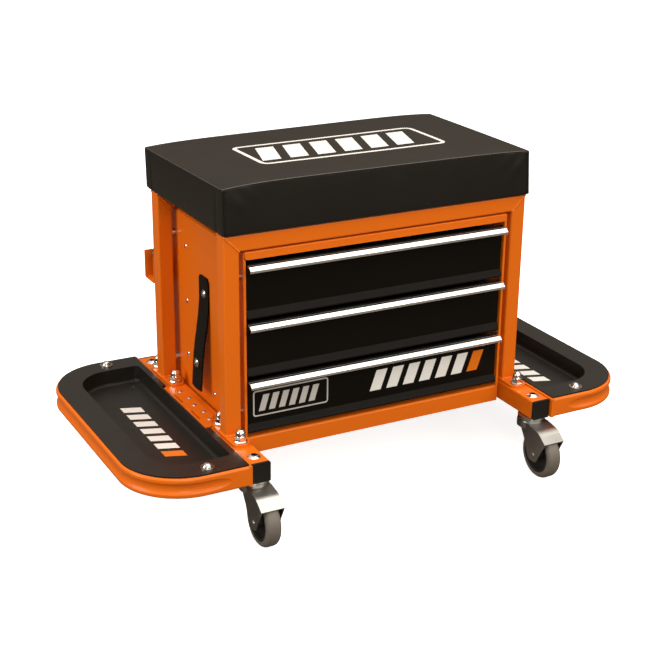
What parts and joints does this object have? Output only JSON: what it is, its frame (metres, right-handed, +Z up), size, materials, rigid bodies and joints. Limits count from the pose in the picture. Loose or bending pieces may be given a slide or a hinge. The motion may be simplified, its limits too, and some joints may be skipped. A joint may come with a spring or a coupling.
{
  "type": "creeper seat",
  "caption": "Rolling workshop seat: padded seat on tube frames over a steel drawer cabinet, with fold-up side trays and swivel castors.",
  "frame": {"origin": "middle of the footprint, on the floor under the castor wheels", "axes": "+Z up, +X to the right across the drawers, drawers open towards -Y"},
  "size_m": [0.691, 0.4074, 0.4186],
  "materials": {
    "orange_paint": "glossy orange powder coat",
    "black_paint": "satin black powder coat",
    "handle_aluminium": "satin anodised",
    "zinc_steel": "bright zinc plate",
    "nut_chrome": "bright nickel plate",
    "black_plastic": "fine-grained",
    "seat_cover": "grained black vinyl",
    "plywood": "raw plywood",
    "webbing": "ribbed webbing",
    "grey_tyre": "smooth grey rubber"
  },
  "bodies": {
    "frame": {"front_frame": "orange_paint", "rear_frame": "orange_paint", "foot_plates": "orange_paint", "base_tube_left": "orange_paint", "base_tube_right": "orange_paint", "side_panel_left": "orange_paint", "side_panel_right": "orange_paint", "cabinet_top": "orange_paint", "cabinet_back": "orange_paint", "cabinet_floor": "orange_paint", "tool_rack": "orange_paint", "hinge_leaves": "orange_paint", "foot_washers": "zinc_steel", "foot_bolts": "zinc_steel", "castor_nuts": "zinc_steel", "castor_stems": "zinc_steel", "cabinet_bolts": "zinc_steel", "rack_bolts": "zinc_steel", "seat_screws": "zinc_steel", "slide_outer_rails": "zinc_steel", "panel_rivets": "zinc_steel", "hinge_rivets": "zinc_steel", "hinge_pins": "zinc_steel", "strap_rivets": "zinc_steel", "acorn_nuts": "nut_chrome", "tube_end_caps": "black_plastic", "seat_cushion": "seat_cover", "seat_board": "plywood", "tool_strap": "webbing"},
    "drawer_top": {"drawer_box_top": "black_paint", "drawer_handle_top": "handle_aluminium", "drawer_slide_top": "zinc_steel"},
    "drawer_middle": {"drawer_box_middle": "black_paint", "drawer_handle_middle": "handle_aluminium", "drawer_slide_middle": "zinc_steel"},
    "drawer_bottom": {"drawer_box_bottom": "black_paint", "drawer_handle_bottom": "handle_aluminium", "drawer_slide_bottom": "zinc_steel"},
    "tray_left": {"tray_frame_left": "orange_paint", "tray_pan_left": "black_plastic", "tray_screws_left": "zinc_steel"},
    "tray_right": {"tray_frame_right": "orange_paint", "tray_pan_right": "black_plastic", "tray_screws_right": "zinc_steel"},
    "swivel_front_left": {"castor_fork_front_left": "zinc_steel", "castor_axle_front_left": "zinc_steel"},
    "swivel_front_right": {"castor_fork_front_right": "zinc_steel", "castor_axle_front_right": "zinc_steel"},
    "swivel_rear_left": {"castor_fork_rear_left": "zinc_steel", "castor_axle_rear_left": "zinc_steel"},
    "swivel_rear_right": {"castor_fork_rear_right": "zinc_steel", "castor_axle_rear_right": "zinc_steel"},
    "wheel_front_left": {"castor_hub_front_left": "black_plastic", "castor_tyre_front_left": "grey_tyre"},
    "wheel_front_right": {"castor_hub_front_right": "black_plastic", "castor_tyre_front_right": "grey_tyre"},
    "wheel_rear_left": {"castor_hub_rear_left": "black_plastic", "castor_tyre_rear_left": "grey_tyre"},
    "wheel_rear_right": {"castor_hub_rear_right": "black_plastic", "castor_tyre_rear_right": "grey_tyre"}
  },
  "joints": [
    {"name": "drawer_top_slide", "type": "slide", "parent": "frame", "child": "drawer_top", "axis": [0, -1, 0], "range_m": [0, 0.14]},
    {"name": "drawer_middle_slide", "type": "slide", "parent": "frame", "child": "drawer_middle", "axis": [0, -1, 0], "range_m": [0, 0.14]},
    {"name": "drawer_bottom_slide", "type": "slide", "parent": "frame", "child": "drawer_bottom", "axis": [0, -1, 0], "range_m": [0, 0.14]},
    {"name": "tray_left_hinge", "type": "hinge", "parent": "frame", "child": "tray_left", "pos_m": [-0.2165, 0.01675, 0.101], "axis": [0, 1, 0], "range_deg": [0, 90]},
    {"name": "tray_right_hinge", "type": "hinge", "parent": "frame", "child": "tray_right", "pos_m": [0.2165, 0.01675, 0.101], "axis": [0, -1, 0], "range_deg": [0, 90]},
    {"name": "swivel_front_left_turn", "type": "hinge", "parent": "frame", "child": "swivel_front_left", "pos_m": [-0.198, -0.14525, 0.07], "axis": [0, 0, 1], "continuous": true},
    {"name": "wheel_front_left_spin", "type": "hinge", "parent": "swivel_front_left", "child": "wheel_front_left", "pos_m": [-0.198, -0.17225, 0.0315], "axis": [1, 0, 0], "continuous": true},
    {"name": "swivel_front_right_turn", "type": "hinge", "parent": "frame", "child": "swivel_front_right", "pos_m": [0.198, -0.14525, 0.07], "axis": [0, 0, 1], "continuous": true},
    {"name": "wheel_front_right_spin", "type": "hinge", "parent": "swivel_front_right", "child": "wheel_front_right", "pos_m": [0.198, -0.17225, 0.0315], "axis": [1, 0, 0], "continuous": true},
    {"name": "swivel_rear_left_turn", "type": "hinge", "parent": "frame", "child": "swivel_rear_left", "pos_m": [-0.198, 0.17875, 0.07], "axis": [0, 0, 1], "continuous": true},
    {"name": "wheel_rear_left_spin", "type": "hinge", "parent": "swivel_rear_left", "child": "wheel_rear_left", "pos_m": [-0.198, 0.15175, 0.0315], "axis": [1, 0, 0], "continuous": true},
    {"name": "swivel_rear_right_turn", "type": "hinge", "parent": "frame", "child": "swivel_rear_right", "pos_m": [0.198, 0.17875, 0.07], "axis": [0, 0, 1], "continuous": true},
    {"name": "wheel_rear_right_spin", "type": "hinge", "parent": "swivel_rear_right", "child": "wheel_rear_right", "pos_m": [0.198, 0.15175, 0.0315], "axis": [1, 0, 0], "continuous": true}
  ]
}
